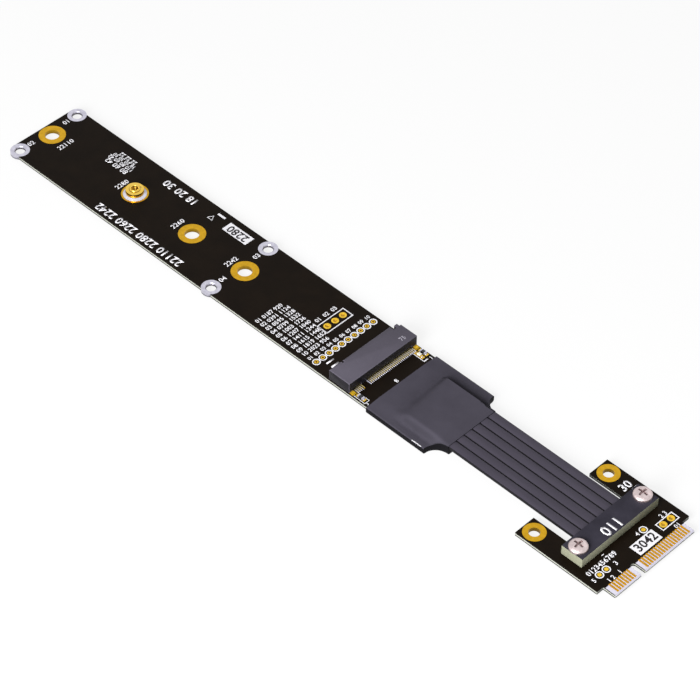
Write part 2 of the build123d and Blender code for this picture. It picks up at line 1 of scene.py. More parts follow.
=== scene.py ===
"""Looks of an extension cable for a gumstick solid state drive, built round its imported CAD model.

The file is laid out as an add-on and run as a script.  Every piece is in metres in the CAD model's frame.
Lengths in millimetres are multiplied by MM, and places along the cable count from the drive's contact edge.
"""

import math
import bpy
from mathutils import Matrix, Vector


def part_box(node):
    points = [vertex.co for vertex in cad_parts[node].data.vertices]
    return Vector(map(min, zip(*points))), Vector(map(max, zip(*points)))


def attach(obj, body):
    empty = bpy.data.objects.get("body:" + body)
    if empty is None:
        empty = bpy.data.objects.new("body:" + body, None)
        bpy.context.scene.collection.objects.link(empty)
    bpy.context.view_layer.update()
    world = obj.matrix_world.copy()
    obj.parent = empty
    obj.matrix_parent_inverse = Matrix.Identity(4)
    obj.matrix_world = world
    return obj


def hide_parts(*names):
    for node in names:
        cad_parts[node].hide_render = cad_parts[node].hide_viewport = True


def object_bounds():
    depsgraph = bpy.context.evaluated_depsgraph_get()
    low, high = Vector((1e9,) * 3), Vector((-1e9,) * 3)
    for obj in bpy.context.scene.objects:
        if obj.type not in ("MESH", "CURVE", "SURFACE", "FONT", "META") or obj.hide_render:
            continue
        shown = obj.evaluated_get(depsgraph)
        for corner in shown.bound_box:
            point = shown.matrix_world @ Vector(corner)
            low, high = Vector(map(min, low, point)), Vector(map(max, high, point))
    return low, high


bl_info = {
    "name": "Gumstick drive extension cable",
    "version": (1, 0, 0),
    "blender": (4, 5, 0),
    "location": "View3D > Sidebar > Drive cable",
    "description": "Printing, finishes, soft mouldings and studio of a drive extension cable",
    "category": "Object",
}

import bmesh
import bpy
from mathutils import Matrix, Vector

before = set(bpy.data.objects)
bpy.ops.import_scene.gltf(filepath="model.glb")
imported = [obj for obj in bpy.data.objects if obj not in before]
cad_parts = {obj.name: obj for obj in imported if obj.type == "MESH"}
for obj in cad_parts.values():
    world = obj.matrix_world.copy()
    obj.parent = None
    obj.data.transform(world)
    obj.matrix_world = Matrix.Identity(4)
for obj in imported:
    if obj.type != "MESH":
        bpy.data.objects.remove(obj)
CAD_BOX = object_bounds()

MM = 0.001

# Places that the pieces and the finishes take from the CAD nodes
rings_low, rings_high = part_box("fixing_hole_rings")
ring_radius = (rings_high.y - rings_low.y) / 2
longest_drive = 110 * MM
datum_x = rings_low.x + ring_radius + longest_drive
board_low, board_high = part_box("carrier_board")
board_bottom, board_top = board_low.z, board_high.z


def at(x, y, level):
    """Point in metres, from millimetres along and across and a level in metres."""
    return (datum_x + x * MM, y * MM, level)


def linear(code):
    """Colour of a six-digit sRGB hex code, as the linear red, green, blue and alpha that Blender works in."""
    channels = [int(code[i:i + 2], 16) / 255 for i in (0, 2, 4)]
    return [c / 12.92 if c <= 0.04045 else ((c + 0.055) / 1.055) ** 2.4 for c in channels] + [1.0]


def shade(colour, amount):
    """The same colour, lighter or darker by that factor."""
    return [min(1.0, c * amount) for c in colour[:3]] + [1.0]


# Sizes and colours that the user can change

def length_size(name, description, default_mm):
    """A length, with its default in millimetres."""
    return bpy.props.FloatProperty(
        name=name, description=description, default=default_mm * MM, min=0.0, precision=5, unit="LENGTH",
        subtype="DISTANCE")


def angle_size(name, description, degrees):
    """An angle, with its default in degrees."""
    return bpy.props.FloatProperty(
        name=name, description=description, default=math.radians(degrees), unit="ROTATION", subtype="ANGLE")


def lamp_power(name, description, watts):
    """The power of a lamp."""
    return bpy.props.FloatProperty(name=name, description=description, default=watts, min=0.0, unit="POWER")


def finish_colour(name, description, code):
    """A colour, with its default as a hex code."""
    return bpy.props.FloatVectorProperty(
        name=name, description=description, default=linear(code), size=4, min=0.0, max=1.0, subtype="COLOR")


class PrintSizes(bpy.types.PropertyGroup):
    """Sizes of the printing."""

    line: length_size("Line", "Width of a printed outline", 0.26)
    ink: length_size("Ink", "Height of the ink over the solder mask", 0.02)
    number: length_size("Number", "Height of the numbers beside the fixing holes", 1.35)
    small_number: length_size("Small number", "Height of the numbers beside the test pads", 1.0)
    large_number: length_size("Large number", "Height of the rows of drive sizes and the panel numbers", 2.2)
    list_number: length_size("List number", "Height of the numbers in the list of test pads", 1.15)
    bar_number: length_size("Bar number", "Height of the number on the clamp bar", 2.7)
    ring_outer: length_size("Ring outside", "Outside diameter of the ring round a test pad", 2.0)
    ring_inner: length_size("Ring inside", "Inside diameter of the ring round a test pad", 1.45)


class MouldSizes(bpy.types.PropertyGroup):
    """Softness of the moulded and cut pieces."""

    socket_edge: length_size("Socket edge", "Round on the socket housing's edges", 0.13)
    bar_edge: length_size("Bar edge", "Round on the clamp bar's edges", 0.12)
    sleeve_edge: length_size("Sleeve edge", "Round along the sleeve's top edges", 0.35)
    strip_dome: length_size("Strip dome", "Fall of a strip's top from its middle to its sides", 0.16)
    strip_shoulder: length_size("Strip shoulder", "Width of the round at each side of a strip's top", 0.34)
    margin_drop: length_size("Margin drop", "Fall of the sleeve's flat margins towards its sides", 0.28)
    sleeve_undercut: length_size("Sleeve undercut", "Round from the sleeve's sides in to its underside", 0.8)
    hump_back: length_size("Hump start", "Start of the hump's slope from the contact edge", 14.3)
    hump_slope: length_size("Hump slope", "Length of the hump's slope at the back", 3.4)
    near_slope: length_size("Near slope", "Width of the hump's slope at its near side", 2.7)
    far_slope: length_size("Far slope", "Width of the hump's slope at its far side", 0.4)
    neck_wall: length_size("Neck wall", "Wall left over the cable at the neck's end", 0.16)
    neck_taper: length_size("Neck taper", "Length over which the wall thins", 5.0)


class FinishColours(bpy.types.PropertyGroup):
    """Colours of the finishes."""

    mask: finish_colour("Solder mask", "Black lacquer of the boards", "110B06")
    laminate: finish_colour("Laminate", "Cut edge of the boards", "B4B6AC")
    tongue: finish_colour("Bare laminate", "Face of the card's tongue", "DCD9E8")
    gold: finish_colour("Gold", "Gold plate of the large rings", "D8A828")
    pad_gold: finish_colour("Pad gold", "Thin bright gold of the small pads", "F2C632")
    finger_gold: finish_colour("Finger gold", "Hard gold of the fingers", "D99F20")
    nickel: finish_colour("Nickel", "Bright plate of the edge nuts", "D4D2E0")
    brass: finish_colour("Brass", "Turned brass of the standoff", "F4CC5C")
    solder: finish_colour("Solder", "Bright tin solder", "CFCFE0")
    spring: finish_colour("Spring bronze", "Contacts of the socket", "F2DE9A")
    housing: finish_colour("Socket nylon", "Moulded socket housing", "58545F")
    rubber: finish_colour("Sleeve rubber", "Soft sleeve over the cable's start", "494650")
    jacket: finish_colour("Cable jacket", "Extruded strips of the cable", "44404B")
    ink: finish_colour("Ink", "White printing", "F4F3F8")
    panel_ink: finish_colour("Panel ink", "Dark numbers on the white panels", "1E1A1E")
    socket_ink: finish_colour("Socket ink", "Worn number on the socket", "A09CA8")
    bar_top: finish_colour("Bar face", "Lacquered faces of the clamp bar", "312F38")
    bar_edge: finish_colour("Bar edge", "Sawn edges of the clamp bar", "9C9D87")
    steel: finish_colour("Screw steel", "Nickel plate of the screws", "D9C9C9")


class StudioSizes(bpy.types.PropertyGroup):
    """Camera and lamps."""

    azimuth: angle_size("Azimuth", "Camera's direction round the part", 44.008)
    elevation: angle_size("Elevation", "Camera's angle over the table", 45.280)
    roll: angle_size("Roll", "Camera's turn about its own axis", 0.852)
    distance: length_size("Distance", "Camera's distance from the point that it looks at", 653.56)
    focal_length: bpy.props.FloatProperty(
        name="Focal length", description="Camera's focal length on a 36 mm sensor", default=147.95,
        unit="CAMERA")
    key: lamp_power("Key lamp", "Power of the lamp at the near side", 6.4)
    fill: lamp_power("Fill lamp", "Power of the lamp at the far side", 0.2)
    sky: bpy.props.FloatProperty(
        name="Sky", description="Strength of the light from straight above", default=0.4, min=0.0)


GROUPS = {
    "cable_print": PrintSizes, "cable_mould": MouldSizes, "cable_finish": FinishColours,
    "cable_studio": StudioSizes}


# Nodes

def add(tree, kind, inputs=None, **settings):
    """Add a node.  Settings are its properties; inputs are values or the sockets of other nodes."""
    made = tree.nodes.new(kind)
    for name, value in settings.items():
        setattr(made, name, value)
    for name, value in (inputs or {}).items():
        if isinstance(value, bpy.types.NodeSocket):
            tree.links.new(value, made.inputs[name])
        else:
            made.inputs[name].default_value = value
    return made


def ray_share(tree, *kinds):
    """1 for a ray of one of these kinds, and 0 for others."""
    path = add(tree, "ShaderNodeLightPath").outputs
    share = path[kinds[0]]
    for kind in kinds[1:]:
        share = add(tree, "ShaderNodeMath", {0: share, 1: path[kind]}, operation="MAXIMUM").outputs[0]
    return share


class Finish:
    """A material in the making: a shader with constants, and patterns that lie on Object coordinates."""

    def __init__(self, name, **constants):
        self.material = bpy.data.materials.new(name)
        self.material.use_nodes = True
        self.tree = self.material.node_tree
        self.tree.nodes.clear()
        self.shader = add(self.tree, "ShaderNodeBsdfPrincipled", {
            key.replace("_", " "): value for key, value in constants.items()})
        self.surface = add(self.tree, "ShaderNodeOutputMaterial", {"Surface": self.shader.outputs["BSDF"]})
        self.place = self.node("ShaderNodeTexCoord", output="Object")
        self.normal = None

    def node(self, kind, inputs=None, output=0, **settings):
        """Add a node and give one of its outputs."""
        return add(self.tree, kind, inputs, **settings).outputs[output]

    def grain(self, size_mm, stretch=(1, 1, 1), detail=2.0):
        """Noise with blotches of that size, drawn out by the stretch along each axis."""
        mapped = self.node("ShaderNodeMapping", {
            "Vector": self.place, "Scale": [1 / (size_mm * MM * s) for s in stretch]})
        return self.node("ShaderNodeTexNoise", {"Vector": mapped, "Scale": 1.0, "Detail": detail})

    def weave(self, pitch_mm):
        """Plain weave: threads that cross over and under each other at that pitch."""
        turned = self.node("ShaderNodeMapping", {
            "Vector": self.place, "Scale": [math.pi / (pitch_mm * MM)] * 3})
        waves = [
            self.node("ShaderNodeMath", {0: self.node("ShaderNodeSeparateXYZ", {"Vector": turned}, axis)},
                      operation="SINE") for axis in "XY"]
        return self.node("ShaderNodeMath", {0: waves[0], 1: waves[1]}, operation="MULTIPLY")

    def spread(self, value, low, high):
        """Stretch a value so that low becomes 0 and high becomes 1, held between them."""
        return self.node("ShaderNodeMapRange", {"Value": value, "From Min": low, "From Max": high})

    def between(self, factor, first, second):
        """Colour that goes from the first to the second as the factor goes from 0 to 1."""
        return self.node("ShaderNodeMix", {"Factor": factor, 6: first, 7: second}, 2, data_type="RGBA")

    def hollow(self, reach_mm, inside=False):
        """1 on open faces, falling to 0 in corners and bores narrower than the reach, or, with inside, along
        the outer edges."""
        return self.node(
            "ShaderNodeAmbientOcclusion", {"Distance": reach_mm * MM}, "AO", samples=8, inside=inside)

    def facing_up(self):
        """1 where a face looks straight up or down, falling to 0 on an upright one."""
        normal = self.node("ShaderNodeNewGeometry", output="True Normal")
        upright = self.node("ShaderNodeSeparateXYZ", {"Vector": normal}, "Z")
        return self.node("ShaderNodeMath", {0: upright}, operation="ABSOLUTE")

    def colour(self, factor, first, second):
        """Colour the surface from the first to the second as the factor goes from 0 to 1."""
        self.tree.links.new(self.between(factor, first, second), self.shader.inputs["Base Color"])

    def relief(self, height, depth_mm):
        """Raise the surface by a height pattern of that depth, over the relief that it has already."""
        inputs = {"Height": height, "Distance": depth_mm * MM, "Strength": 1.0}
        if self.normal is not None:
            inputs["Normal"] = self.normal
        self.normal = self.node("ShaderNodeBump", inputs)
        self.tree.links.new(self.normal, self.shader.inputs["Normal"])


# Materials

def laminate(name, mask, edge, roughness, lined=False, bare=None):
    """Glass laminate.  Its faces carry a screened lacquer, satin and nearly black, through which the cloth
    shows faintly, and the card's tongue is bare where its colour is given.  The routed edges are resin and
    glass, pale, with a line for each layer of cloth.  A board's are lined, dark at the top and the bottom,
    where lacquer and copper end."""
    made = Finish(name, Roughness=roughness, IOR=1.5, Specular_IOR_Level=0.05)
    face = made.between(made.spread(made.grain(4.0), 0.35, 0.7), mask, shade(mask, 1.45))
    if bare is not None:
        tongue_x = datum_x + 80.75 * MM
        along = made.node("ShaderNodeSeparateXYZ", {"Vector": made.place}, "X")
        past = made.node("ShaderNodeMath", {0: along, 1: tongue_x}, operation="GREATER_THAN")
        cloth = made.spread(made.weave(0.45), -1.0, 1.0)
        face = made.between(past, face, made.between(cloth, shade(bare, 0.93), bare))
    # Layers of cloth, and short broken fibres along the cut
    ply = 0.18 * MM
    height = made.node("ShaderNodeSeparateXYZ", {"Vector": made.place}, "Z")
    layer = made.node("ShaderNodeMath", {0: height, 1: 2 * math.pi / ply}, operation="MULTIPLY")
    bands = made.node("ShaderNodeMath", {0: layer}, operation="SINE")
    fibres = made.spread(made.grain(0.12, stretch=(6, 6, 0.6)), 0.45, 0.75)
    cut = made.between(made.spread(bands, -1.0, 1.0), shade(edge, 0.78), edge)
    cut = made.between(fibres, cut, shade(edge, 1.15))
    if lined:
        for level, first, second in ((board_bottom, 0.24, 0.34), (board_top, -0.26, -0.36)):
            inwards = made.spread(height, level + first * MM, level + second * MM)
            cut = made.between(inwards, shade(mask, 1.3), cut)
    is_cut = made.node("ShaderNodeMath", {0: made.facing_up(), 1: 0.6}, operation="LESS_THAN")
    made.colour(is_cut, face, cut)
    # The cloth's pitch is about 0.5 mm, and the lacquer has a fine orange peel over it
    made.relief(made.weave(0.5), 0.0015)
    made.relief(made.grain(0.3), 0.003)
    return made.material


def plated(name, colour, roughness, blotch_mm=0.8, depth_mm=0.002, reach_mm=3.0, grime=0.3, film=(0.35, 0.9),
           metallic=1.0):
    """Plated or bare metal: slightly cloudy, with the fine grain of what is under the plate, and painted
    shade in its corners and bores."""
    made = Finish(name, Metallic=metallic, Roughness=roughness)
    cloud = made.spread(made.grain(blotch_mm), 0.3, 0.65)
    unshaded = made.between(cloud, shade(colour, 0.82), colour)
    # Painted shade: the colour darkens in corners, in bores and beside taller parts, as far as the AO node
    # finds them enclosed
    made.colour(made.spread(made.hollow(reach_mm), *film), shade(colour, grime), unshaded)
    uneven = made.node("ShaderNodeMapRange", {
        "Value": made.grain(blotch_mm / 2), "To Min": roughness * 0.75, "To Max": roughness * 1.3})
    made.tree.links.new(uneven, made.shader.inputs["Roughness"])
    made.relief(made.grain(0.12), depth_mm)
    return made.material


def turned_brass(name, colour, middle):
    """Brass turned in a lathe: fine rings about its own axis, bright with a light gilding, and painted shade
    in its bore and creases.
    """
    made = Finish(name, Metallic=1.0, Roughness=0.2)
    centred = made.node("ShaderNodeMapping", {"Vector": made.place, "Location": [-middle, 0, 0]})
    # Rings 0.12 mm apart: the wave texture turns through 20 radians in each unit of its scale
    rings = made.node("ShaderNodeTexWave", {
        "Vector": centred, "Scale": 2 * math.pi / (20 * 0.12 * MM), "Distortion": 0.6, "Detail": 1.0},
        1, wave_type="RINGS", rings_direction="Z")
    bright = made.between(rings, shade(colour, 0.88), colour)
    # Painted shade in the bore and at the foot of the boss, darker where the AO node finds them enclosed
    made.colour(made.spread(made.hollow(1.0), 0.4, 0.9), shade(colour, 0.3), bright)
    made.relief(rings, 0.003)
    return made.material


def moulded_nylon(name, colour):
    """Glass-filled nylon from a spark-eroded mould: dull, with a fine even texture and faint short fibres,
    with painted shade on its upright sides and a painted highlight along its edges."""
    made = Finish(name, Roughness=0.5, IOR=1.53, Specular_IOR_Level=0.1)
    fibres = made.spread(made.grain(0.1, stretch=(1, 8, 1)), 0.58, 0.75)
    flow = made.spread(made.grain(5.0), 0.3, 0.7)
    face = made.between(flow, shade(colour, 0.93), shade(colour, 1.05))
    face = made.between(fibres, face, shade(colour, 1.25))
    # Painted shade: upright faces are darkened to a small share of the colour
    side = made.between(made.spread(made.facing_up(), 0.05, 0.5), shade(colour, 0.13), face)
    # Painted highlight: the outer edges, found by the AO node looking inwards, are made paler
    made.colour(made.spread(made.hollow(0.25, inside=True), 0.62, 0.92), shade(colour, 1.7), side)
    made.relief(made.grain(0.09), 0.004)
    return made.material


def soft_rubber(name, colour):
    """Soft rubber shrunk over the cable's start: matt, cloudy with bloom, with a fine skin, and painted shade
    in the creases by the hump and on its sides.
    """
    made = Finish(name, Roughness=0.62, IOR=1.5, Specular_IOR_Level=0.06)
    cloud = made.spread(made.grain(6.0, detail=4.0), 0.3, 0.7)
    unshaded = made.between(cloud, shade(colour, 0.9), shade(colour, 1.08))
    # Painted shade in the creases at the hump's foot, by how enclosed the AO node finds them
    crease_shaded = made.between(made.spread(made.hollow(4.5), 0.8, 1.0), shade(colour, 0.2), unshaded)
    # Painted shade: the sides darken to nearly black
    made.colour(made.spread(made.facing_up(), 0.45, 0.85), shade(colour, 0.08), crease_shaded)
    made.relief(made.grain(0.25), 0.006)
    made.relief(made.grain(4.0), 0.05)
    return made.material


def extruded_pvc(name, colour):
    """Soft PVC pulled through a die: satin, with faint lines along it, and painted shade between the strips.
    """
    made = Finish(name, Roughness=0.42, IOR=1.52, Specular_IOR_Level=0.12)
    cloud = made.spread(made.grain(1.5, stretch=(9, 1, 1)), 0.3, 0.7)
    unshaded = made.between(cloud, shade(colour, 0.92), shade(colour, 1.08))
    # Painted shade: the steep shoulders and sides of each strip are darkened
    made.colour(made.spread(made.facing_up(), 0.7, 0.95), shade(colour, 0.1), unshaded)
    made.relief(made.grain(0.14, stretch=(60, 1, 1)), 0.006)
    return made.material


def screened_ink(name, colour):
    """Ink pushed through a screen: matt, a little uneven, thinner in small spots."""
    made = Finish(name, Roughness=0.6, IOR=1.5, Specular_IOR_Level=0.3)
    made.colour(made.spread(made.grain(0.25), 0.25, 0.5), shade(colour, 0.86), colour)
    made.relief(made.grain(0.1), 0.003)
    return made.material


def chip_glaze(name):
    """Fired glaze of a chip resistor: black, glossy, slightly wavy."""
    made = Finish(name, Roughness=0.25, IOR=1.5)
    glaze = linear("1C1B1E")
    made.colour(made.grain(0.4), shade(glaze, 0.8), shade(glaze, 1.4))
    made.relief(made.grain(0.3), 0.006)
    return made.material


def cast_resin(name):
    """Clear casting resin of a lamp: milky, glossy, with the pale chip glowing through."""
    made = Finish(name, Roughness=0.18, IOR=1.5, Transmission_Weight=0.1)
    milk = linear("F4F4EA")
    made.colour(made.spread(made.grain(0.3), 0.3, 0.7), shade(milk, 0.9), milk)
    made.relief(made.grain(0.2), 0.002)
    return made.material


FINISHES = {}


def known(name, build, *arguments, **options):
    """The finish of that name, built the first time it is asked for."""
    if name not in FINISHES:
        FINISHES[name] = build(name, *arguments, **options)
    return FINISHES[name]


def tin_solder():
    """Solder of the socket, the standoff and the small parts."""
    return known("tin_solder", plated, bpy.context.scene.cable_finish.solder, 0.35, blotch_mm=0.5,
                 depth_mm=0.01, reach_mm=0.3, metallic=0.5)


def ink(tone):
    """White ink of the boards and the bar, black of the panels' numbers, or worn grey of the socket's."""
    colours = bpy.context.scene.cable_finish
    colour = {"white": colours.ink, "black": colours.panel_ink, "grey": colours.socket_ink}[tone]
    return known(f"screened_{tone}_ink", screened_ink, colour)


def paint(material, *nodes):
    """Give CAD nodes a material through their objects' slots."""
    for name in nodes:
        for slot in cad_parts[name].material_slots:
            slot.link = "OBJECT"
            slot.material = material


# Pieces

def placed(name, data):
    """A new object in the scene, at the origin."""
    made = bpy.data.objects.new(name, data)
    bpy.context.scene.collection.objects.link(made)
    return made


def put(name, mesh, material, replaces=()):
    """Place a finished mesh as a piece of the part."""
    mesh.name = name
    mesh.materials.clear()
    mesh.materials.append(material)
    piece = placed(name, mesh)
    if replaces:
        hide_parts(*replaces)
    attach(piece, "root")


def baked(data, kind=None, inputs=None, **settings):
    """Plain mesh of a mesh or a text, after one modifier where its type is given, with its node inputs."""
    holder = placed("holder", data)
    if kind:
        modifier = holder.modifiers.new(kind.title(), kind)
        for name, value in settings.items():
            setattr(modifier, name, value)
    if inputs:
        for item in settings["node_group"].interface.items_tree:
            if item.item_type == "SOCKET" and item.in_out == "INPUT" and item.name in inputs:
                modifier[item.identifier] = inputs[item.name]
    made = bpy.data.meshes.new_from_object(holder.evaluated_get(bpy.context.evaluated_depsgraph_get()))
    bpy.data.objects.remove(holder)
    return made


def mesh_of(shape, outwards=False):
    """Turn a bmesh into a mesh, with its faces made to point outwards where that is asked."""
    if outwards:
        bmesh.ops.recalc_face_normals(shape, faces=shape.faces)
    mesh = bpy.data.meshes.new("shape")
    shape.to_mesh(mesh)
    shape.free()
    return mesh


def smoothed(mesh, degrees):
    """The mesh, shaded smooth where its faces meet at less than that angle."""
    mesh.shade_smooth()
    mesh.set_sharp_from_angle(angle=math.radians(degrees))
    return mesh


def band(shape, first, second):
    """Faces between two loops of points."""
    for i in range(len(first)):
        j = (i + 1) % len(first)
        shape.faces.new((first[i], first[j], second[j], second[i]))


def raised(shape, flat, height):
    """Mesh of flat faces, raised by that height and closed below."""
    grown = bmesh.ops.extrude_face_region(shape, geom=flat, use_keep_orig=True)["geom"]
    top = [v for v in grown if isinstance(v, bmesh.types.BMVert)]
    bmesh.ops.translate(shape, verts=top, vec=(0, 0, height))
    return mesh_of(shape, outwards=True)


def softened(node, width):
    """Copy of a CAD node with its sharp outer edges rounded."""
    shape = bmesh.new()
    shape.from_mesh(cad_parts[node].data)
    bmesh.ops.remove_doubles(shape, verts=shape.verts, dist=0.001 * MM)
    bmesh.ops.dissolve_limit(shape, angle_limit=math.radians(1), verts=shape.verts, edges=shape.edges)
    weights = shape.edges.layers.float.new("bevel_weight_edge")
    sharp = math.radians(50)
    for edge in shape.edges:
        if len(edge.link_faces) == 2 and edge.is_convex and edge.calc_face_angle() > sharp:
            if edge.calc_length() > 4 * width:
                edge[weights] = 1.0
    return smoothed(baked(mesh_of(shape), "BEVEL", width=width, segments=2, limit_method="WEIGHT",
                          use_clamp_overlap=False), 32)


# Node trees for what repeats

def new_tree(name, **sizes):
    """Empty geometry tree with named sizes and their defaults, and the outputs of its input node."""
    tree = bpy.data.node_groups.new(name, "GeometryNodeTree")
    for label in ("Geometry", "Material"):
        tree.interface.new_socket(label, in_out="INPUT", socket_type=f"NodeSocket{label}")
    for label, default in sizes.items():
        kind = "NodeSocketVector" if isinstance(default, tuple) else "NodeSocketFloat"
        tree.interface.new_socket(label, in_out="INPUT", socket_type=kind).default_value = default
    tree.interface.new_socket("Geometry", in_out="OUTPUT", socket_type="NodeSocketGeometry")
    return tree, add(tree, "NodeGroupInput").outputs


def close_tree(tree, given, shape):
    """End a tree: the shape set on each point, the copies made real, and their material set."""
    copies = add(tree, "GeometryNodeInstanceOnPoints", {"Points": given["Geometry"], "Instance": shape})
    real = add(tree, "GeometryNodeRealizeInstances", {"Geometry": copies.outputs[0]})
    dressed = add(tree, "GeometryNodeSetMaterial", {
        "Geometry": real.outputs[0], "Material": given["Material"]})
    add(tree, "NodeGroupOutput", {"Geometry": dressed.outputs[0]})
    return tree


def ring_tree():
    """Flat printed ring on each point."""
    tree, given = new_tree("printed_rings", Outside=1.0 * MM, Inside=0.7 * MM, Thickness=0.02 * MM)
    both = add(tree, "GeometryNodeJoinGeometry")
    for radius in ("Outside", "Inside"):
        circle = add(tree, "GeometryNodeCurvePrimitiveCircle", {"Resolution": 32, "Radius": given[radius]})
        tree.links.new(circle.outputs["Curve"], both.inputs["Geometry"])
    flat = add(tree, "GeometryNodeFillCurve", {"Curve": both.outputs[0]})
    lifted = add(tree, "GeometryNodeExtrudeMesh", {
        "Mesh": flat.outputs[0], "Offset Scale": given["Thickness"], "Individual": False})
    under = add(tree, "GeometryNodeFlipFaces", {"Mesh": flat.outputs[0]})
    whole = add(tree, "GeometryNodeJoinGeometry")
    for part in (lifted, under):
        tree.links.new(part.outputs[0], whole.inputs["Geometry"])
    closed = add(tree, "GeometryNodeMergeByDistance", {"Geometry": whole.outputs[0], "Distance": 1e-7})
    return close_tree(tree, given, closed.outputs[0])


def bead_tree():
    """Small domed bead of solder on each point."""
    tree, given = new_tree("solder_beads", Size=(0.5 * MM, 0.2 * MM, 0.1 * MM))
    ball = add(tree, "GeometryNodeMeshUVSphere", {"Segments": 8, "Rings": 6, "Radius": 0.5})
    bead = add(tree, "GeometryNodeTransform", {"Geometry": ball.outputs[0], "Scale": given["Size"]})
    smooth = add(tree, "GeometryNodeSetShadeSmooth", {"Geometry": bead.outputs[0]})
    return close_tree(tree, given, smooth.outputs[0])


def thread_tree():
    """Screw thread, a ridge wound up a bore, on each point."""
    tree, given = new_tree("bore_threads", Radius=1.25 * MM, Height=1.0 * MM, Turns=2.0, Ridge=0.1 * MM)
    spiral = add(tree, "GeometryNodeCurveSpiral", {
        "Resolution": 24, "Rotations": given["Turns"], "Start Radius": given["Radius"],
        "End Radius": given["Radius"], "Height": given["Height"]})
    profile = add(tree, "GeometryNodeCurvePrimitiveCircle", {"Resolution": 4, "Radius": given["Ridge"]})
    ridge = add(tree, "GeometryNodeCurveToMesh", {
        "Curve": spiral.outputs[0], "Profile Curve": profile.outputs["Curve"], "Fill Caps": True})
    return close_tree(tree, given, ridge.outputs[0])


def strew(name, points, tree, material, slot=None, **sizes):
    """Place what a tree sets on the points as one piece."""
    mesh = bpy.data.meshes.new("points")
    mesh.from_pydata(points, [], [])
    made = baked(mesh, "NODES", {"Material": material, **sizes}, node_group=tree)
    put(name, made, material)


# Printing

class Print:
    """Ink on one face, gathered as flat shapes and given its thickness at the end.  Places and lengths are in
    millimetres from the contact edge, and a number's height is in metres."""

    def __init__(self, level):
        self.level = level
        self.sizes = bpy.context.scene.cable_print
        self.shape = bmesh.new()

    def patch(self, x_low, x_high, y_low, y_high):
        """Filled rectangle."""
        corners = [(x_low, y_low), (x_high, y_low), (x_high, y_high), (x_low, y_high)]
        self.shape.faces.new([self.shape.verts.new(at(x, y, self.level)) for x, y in corners])

    def frame_line(self, x_low, x_high, y_low, y_high):
        """Outline of a rectangle."""
        line = self.sizes.line / MM
        for y in (y_low, y_high - line):
            self.patch(x_low, x_high, y, y + line)
        for x in (x_low, x_high - line):
            self.patch(x, x + line, y_low + line, y_high - line)

    def triangle(self, x, y, side):
        """Outline of a triangle about a point, its tip towards the far edge."""
        outer = side / math.sqrt(3)
        turns = [math.radians(turn) for turn in (90, 210, 330)]
        rings = [[
            self.shape.verts.new(at(x + reach * math.cos(turn), y + reach * math.sin(turn), self.level))
            for turn in turns] for reach in (outer, outer - self.sizes.line / MM)]
        band(self.shape, *rings)

    def number(self, text, x, y, height, turn=90, align="CENTER"):
        """Number centred on a point, or starting there, its foot towards the cable unless it is turned."""
        figure_share = 0.7
        curve = bpy.data.curves.new("number", "FONT")
        curve.body = text
        curve.size = height / figure_share
        curve.align_x = align
        curve.align_y = "CENTER"
        curve.resolution_u = 2
        curve.offset = 0.03 * height
        mesh = baked(curve)
        mesh.transform(
            Matrix.Translation(at(x, y, self.level)) @ Matrix.Rotation(math.radians(turn), 4, "Z"))
        self.shape.from_mesh(mesh)
        bpy.data.meshes.remove(mesh)

    def numbers(self, height, *entries, turn=90):
        """Several numbers of one height, each given as its text and its place."""
        for text, x, y in entries:
            self.number(text, x, y, height, turn)

    def printed(self):
        """Mesh of all shapes, raised by the ink's thickness and closed below."""
        flat = list(self.shape.faces)
        bmesh.ops.recalc_face_normals(self.shape, faces=flat)
        for face in flat:
            if face.normal.z > 0:
                face.normal_flip()
        return raised(self.shape, flat, self.sizes.ink)


def pad_rings(name, places):
    """Place white rings round test pads."""
    sizes = bpy.context.scene.cable_print
    strew(name, [at(x, y, board_top) for x, y in places], ring_tree(), ink("white"),
          Outside=sizes.ring_outer / 2, Inside=sizes.ring_inner / 2, Thickness=sizes.ink)


def lone_number(name, text, x, y, level, height, material, turn=90):
    """Place one number as a piece of its own."""
    page = Print(level)
    page.number(text, x, y, height, turn)
    put(name, page.printed(), material)


# Mouldings

def smooth_step(value):
    """0 below 0, 1 above 1, and an even slope between."""
    held = max(0.0, min(1.0, value))
    return held * held * (3 - 2 * held)


